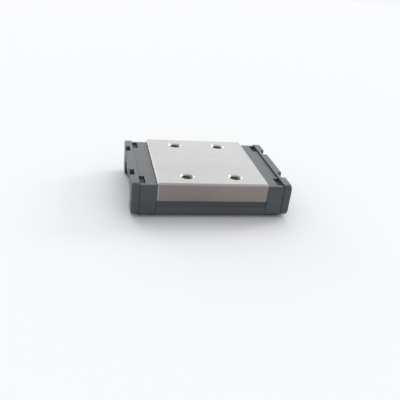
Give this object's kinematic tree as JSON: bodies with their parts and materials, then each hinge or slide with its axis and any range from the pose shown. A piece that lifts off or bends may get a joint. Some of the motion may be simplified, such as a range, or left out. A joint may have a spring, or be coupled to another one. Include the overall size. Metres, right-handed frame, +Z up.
{
  "type": "linear guide carriage",
  "caption": "Wide low-profile linear guide carriage: ground steel block, moulded end plates and seals, and two recirculating caged ball circuits.",
  "frame": {"origin": "middle of the carriage's underside, at the foot of the end plates and return covers", "axes": "+X along the rail (the long side), +Y across the rail, towards the datum side, +Z up out of the mounting face"},
  "size_m": [0.0388, 0.03, 0.0091],
  "materials": {
    "ground_steel": "ground, satin",
    "black_moulding": "fine moulded texture",
    "seal_frame_black": "satin moulded",
    "lip_rubber": "matt nitrile",
    "guide_moulding": "smooth moulded",
    "cage_nylon": "natural nylon",
    "bright_steel": "bright drawn",
    "ball_steel": "lapped and polished"
  },
  "bodies": {
    "carriage": {"end_plate_left": "black_moulding", "end_plate_right": "black_moulding", "end_screw_left_front": "bright_steel", "end_screw_left_rear": "bright_steel", "end_screw_right_front": "bright_steel", "end_screw_right_rear": "bright_steel", "end_seal_left": "seal_frame_black", "end_seal_right": "seal_frame_black", "retaining_wire_front": "bright_steel", "retaining_wire_rear": "bright_steel", "return_cover_front": "black_moulding", "return_cover_rear": "black_moulding", "seal_lip_left": "lip_rubber", "seal_lip_right": "lip_rubber", "steel_block": "ground_steel", "turn_guide_left_front": "guide_moulding", "turn_guide_left_rear": "guide_moulding", "turn_guide_right_front": "guide_moulding", "turn_guide_right_rear": "guide_moulding"},
    "front_load_row": {"front_load_ball_01": "ball_steel", "front_load_ball_02": "ball_steel", "front_load_ball_03": "ball_steel", "front_load_ball_04": "ball_steel", "front_load_ball_05": "ball_steel", "front_load_ball_06": "ball_steel", "front_load_ball_07": "ball_steel", "front_load_ball_08": "ball_steel", "front_load_ball_09": "ball_steel", "front_load_ball_10": "ball_steel", "front_load_ball_11": "ball_steel", "front_load_ball_12": "ball_steel", "front_load_ball_13": "ball_steel", "front_load_cage": "cage_nylon"},
    "front_return_row": {"front_return_chain": "ball_steel"},
    "left_front_turn": {"left_front_turn_chain": "ball_steel"},
    "right_front_turn": {"right_front_turn_chain": "ball_steel"},
    "rear_load_row": {"rear_load_ball_01": "ball_steel", "rear_load_ball_02": "ball_steel", "rear_load_ball_03": "ball_steel", "rear_load_ball_04": "ball_steel", "rear_load_ball_05": "ball_steel", "rear_load_ball_06": "ball_steel", "rear_load_ball_07": "ball_steel", "rear_load_ball_08": "ball_steel", "rear_load_ball_09": "ball_steel", "rear_load_ball_10": "ball_steel", "rear_load_ball_11": "ball_steel", "rear_load_ball_12": "ball_steel", "rear_load_ball_13": "ball_steel", "rear_load_cage": "cage_nylon"},
    "rear_return_row": {"rear_return_chain": "ball_steel"},
    "left_rear_turn": {"left_rear_turn_chain": "ball_steel"},
    "right_rear_turn": {"right_rear_turn_chain": "ball_steel"}
  },
  "joints": [
    {"name": "front_load_slide", "type": "slide", "parent": "carriage", "child": "front_load_row", "axis": [1, 0, 0], "range_m": [-0.00103, 0.00103]},
    {"name": "front_return_slide", "type": "slide", "parent": "carriage", "child": "front_return_row", "axis": [1, 0, 0], "range_m": [-0.00104, 0.00104]},
    {"name": "left_front_turn_hinge", "type": "hinge", "parent": "carriage", "child": "left_front_turn", "pos_m": [-0.0135, -0.01113, 0.0021], "axis": [0, 0, 1], "range_deg": [-30, 30]},
    {"name": "right_front_turn_hinge", "type": "hinge", "parent": "carriage", "child": "right_front_turn", "pos_m": [0.0135, -0.01113, 0.0021], "axis": [0, 0, 1], "range_deg": [-30, 30]},
    {"name": "rear_load_slide", "type": "slide", "parent": "carriage", "child": "rear_load_row", "axis": [1, 0, 0], "range_m": [-0.00103, 0.00103]},
    {"name": "rear_return_slide", "type": "slide", "parent": "carriage", "child": "rear_return_row", "axis": [1, 0, 0], "range_m": [-0.00104, 0.00104]},
    {"name": "left_rear_turn_hinge", "type": "hinge", "parent": "carriage", "child": "left_rear_turn", "pos_m": [-0.0135, 0.01113, 0.0021], "axis": [0, 0, 1], "range_deg": [-30, 30]},
    {"name": "right_rear_turn_hinge", "type": "hinge", "parent": "carriage", "child": "right_rear_turn", "pos_m": [0.0135, 0.01113, 0.0021], "axis": [0, 0, 1], "range_deg": [-30, 30]}
  ],
  "couplings": [
    {"joint": "front_return_slide", "follows": "front_load_slide", "ratio": -1},
    {"joint": "left_front_turn_hinge", "follows": "front_load_slide", "rad_per_m": -504.21},
    {"joint": "right_front_turn_hinge", "follows": "front_load_slide", "rad_per_m": -504.21},
    {"joint": "rear_return_slide", "follows": "rear_load_slide", "ratio": -1},
    {"joint": "left_rear_turn_hinge", "follows": "rear_load_slide", "rad_per_m": 504.21},
    {"joint": "right_rear_turn_hinge", "follows": "rear_load_slide", "rad_per_m": 504.21}
  ]
}
